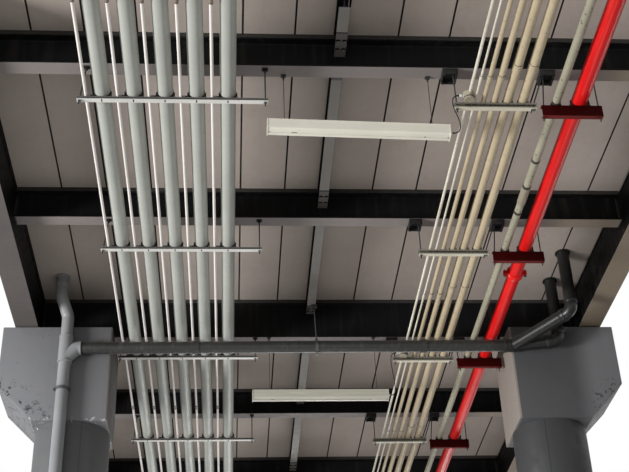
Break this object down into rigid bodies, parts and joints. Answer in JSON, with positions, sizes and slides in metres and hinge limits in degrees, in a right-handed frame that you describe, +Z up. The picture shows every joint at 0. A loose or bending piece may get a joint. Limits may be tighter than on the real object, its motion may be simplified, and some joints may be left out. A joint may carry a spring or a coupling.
{
  "type": "industrial pipe bridge",
  "caption": "Pipe bridge module of concrete planks on steel beams and round columns, with a red main and racks of grey and cream pipes hung below.",
  "frame": {"origin": "ground level, midway between the columns and midway along the bridge", "axes": "+Y along the bridge, away from the near end; +X to the side of the red main; +Z up"},
  "size_m": [5.68, 13.64, 7.756],
  "materials": {
    "column_concrete": "matte",
    "deck_concrete": "matte",
    "bearing_rubber": "matte",
    "girder_paint": "satin",
    "beam_paint": "satin",
    "grey_paint": "satin",
    "conduit_plastic": "matte",
    "bar_paint": "satin",
    "hanger_steel": "satin",
    "cream_plastic": "matte",
    "pale_plastic": "matte",
    "red_paint": "gloss",
    "maroon_paint": "satin",
    "light_paint": "satin",
    "wire_steel": "satin",
    "box_plastic": "matte",
    "cable_rubber": "matte",
    "drain_plastic": "matte"
  },
  "bodies": {
    "root": {"bearing_pads": "bearing_rubber", "bearing_strips": "bearing_rubber", "conduit_sockets": "conduit_plastic", "cream_pipes": "cream_plastic", "cream_sockets": "cream_plastic", "cross_beam_1": "beam_paint", "cross_beam_2": "beam_paint", "cross_beam_4": "beam_paint", "cross_beam_5": "beam_paint", "cross_beam_6": "beam_paint", "deck_planks_bay_1": "deck_concrete", "deck_planks_bay_2": "deck_concrete", "deck_planks_bay_3": "deck_concrete", "deck_planks_bay_4": "deck_concrete", "deck_planks_bay_5": "deck_concrete", "deck_planks_bay_6": "deck_concrete", "deck_topping": "deck_concrete", "drain_cross_pipe": "drain_plastic", "drain_downpipe": "drain_plastic", "drain_inlets": "drain_plastic", "drain_supports": "wire_steel", "first_bent_beam": "girder_paint", "first_bent_cap_left": "column_concrete", "first_bent_cap_right": "column_concrete", "first_bent_column_left": "column_concrete", "first_bent_column_right": "column_concrete", "girder_end_plates": "girder_paint", "girder_left": "girder_paint", "girder_right": "girder_paint", "grey_pipes": "grey_paint", "junction_boxes": "box_plastic", "left_rack_bars": "bar_paint", "left_rack_hangers": "hanger_steel", "light_cable_1": "cable_rubber", "light_cable_3": "cable_rubber", "light_cable_5": "cable_rubber", "light_cable_7": "cable_rubber", "light_fittings": "light_paint", "light_glands": "box_plastic", "light_wires": "wire_steel", "pale_pipe": "pale_plastic", "red_main": "red_paint", "red_main_channels": "maroon_paint", "red_main_couplings": "red_paint", "right_rack_bars": "bar_paint", "right_rack_hangers": "hanger_steel", "second_bent_beam": "girder_paint", "second_bent_cap_left": "column_concrete", "second_bent_cap_right": "column_concrete", "second_bent_column_left": "column_concrete", "second_bent_column_right": "column_concrete", "stringer": "beam_paint", "stringer_cleats": "beam_paint", "thin_conduits": "conduit_plastic"}
  },
  "joints": []
}
